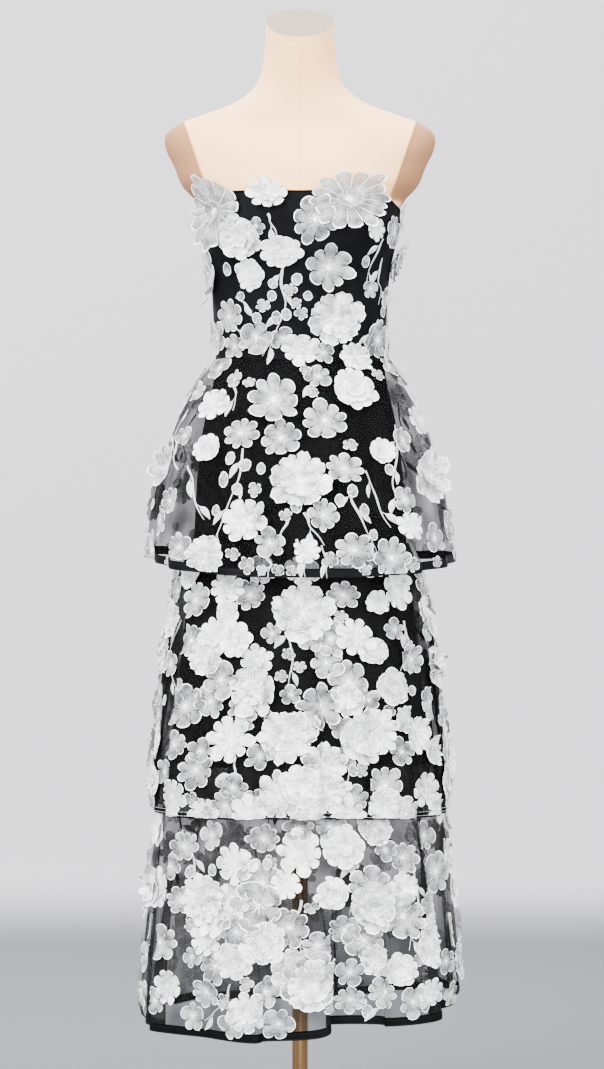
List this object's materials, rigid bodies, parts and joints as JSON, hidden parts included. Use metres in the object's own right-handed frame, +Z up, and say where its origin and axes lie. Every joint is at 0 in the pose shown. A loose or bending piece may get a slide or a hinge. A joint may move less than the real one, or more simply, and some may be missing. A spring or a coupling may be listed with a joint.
{
  "type": "tiered maxi dress on a dress form",
  "caption": "Strapless black net maxi dress with a fitted bodice, gathered tiers and raised white flowers, worn by a limbless dress form on a pole and round base.",
  "frame": {"origin": "centre of the stand's round base, on the floor", "axes": "+Z up along the pole, -Y is the dress's front, +X is the wearer's left"},
  "size_m": [0.4486, 0.4003, 1.5751],
  "materials": {
    "cover": "cream stretch cloth over padding",
    "cap": "pale grey cloth",
    "brass": "polished",
    "base": "satin",
    "black_cloth": "matt black lining cloth under embroidered net",
    "black_net": "sheer black net with white embroidery",
    "ribbon": "black satin ribbon",
    "white_flower": "white embroidered organza",
    "zip": "black enamel"
  },
  "bodies": {
    "dress_on_form": {"form_torso": "cover", "form_neck_cap": "cap", "form_arm_plate_left": "cover", "form_arm_plate_right": "cover", "stand_base": "base", "stand_pole": "brass", "bodice_front": "black_cloth", "bodice_side_left": "black_cloth", "bodice_side_right": "black_cloth", "bodice_back_left": "black_cloth", "bodice_back_right": "black_cloth", "slip_front": "black_cloth", "slip_back": "black_cloth", "tier_1_front": "black_net", "tier_1_back": "black_net", "tier_2_front": "black_net", "tier_2_back": "black_net", "tier_3_front": "black_net", "tier_3_back": "black_net", "tier_1_ribbon_front": "ribbon", "tier_1_ribbon_back": "ribbon", "tier_3_ribbon_front": "ribbon", "tier_3_ribbon_back": "ribbon", "neckline_daisy_right": "white_flower", "neckline_daisy_left": "white_flower", "neckline_scallop": "white_flower", "bust_rosette": "white_flower", "bust_organza": "white_flower", "waist_carnation": "white_flower", "waist_rosette": "white_flower", "side_rosette_right": "white_flower", "side_rosette_left": "white_flower", "peplum_daisy": "white_flower", "peplum_organza": "white_flower", "peplum_carnation": "white_flower", "peplum_rosette": "white_flower", "peplum_side_left": "white_flower", "peplum_side_right": "white_flower", "middle_daisy_centre": "white_flower", "middle_daisy_right": "white_flower", "middle_rosette_left": "white_flower", "middle_side_left": "white_flower", "lower_daisy_right": "white_flower", "lower_rosette_left": "white_flower", "lower_daisy_centre": "white_flower", "lower_side_right": "white_flower", "back_bodice_daisy": "white_flower", "back_peplum_daisy": "white_flower", "back_middle_daisy": "white_flower", "back_lower_rosette": "white_flower", "zip_slider": "zip"},
    "zip_pull": {"zip_pull": "zip"}
  },
  "joints": [
    {"name": "zip_pull_swing", "type": "hinge", "parent": "dress_on_form", "child": "zip_pull", "pos_m": [0, 0.11211, 1.275], "axis": [1, 0, 0], "range_deg": [0, 150]}
  ]
}
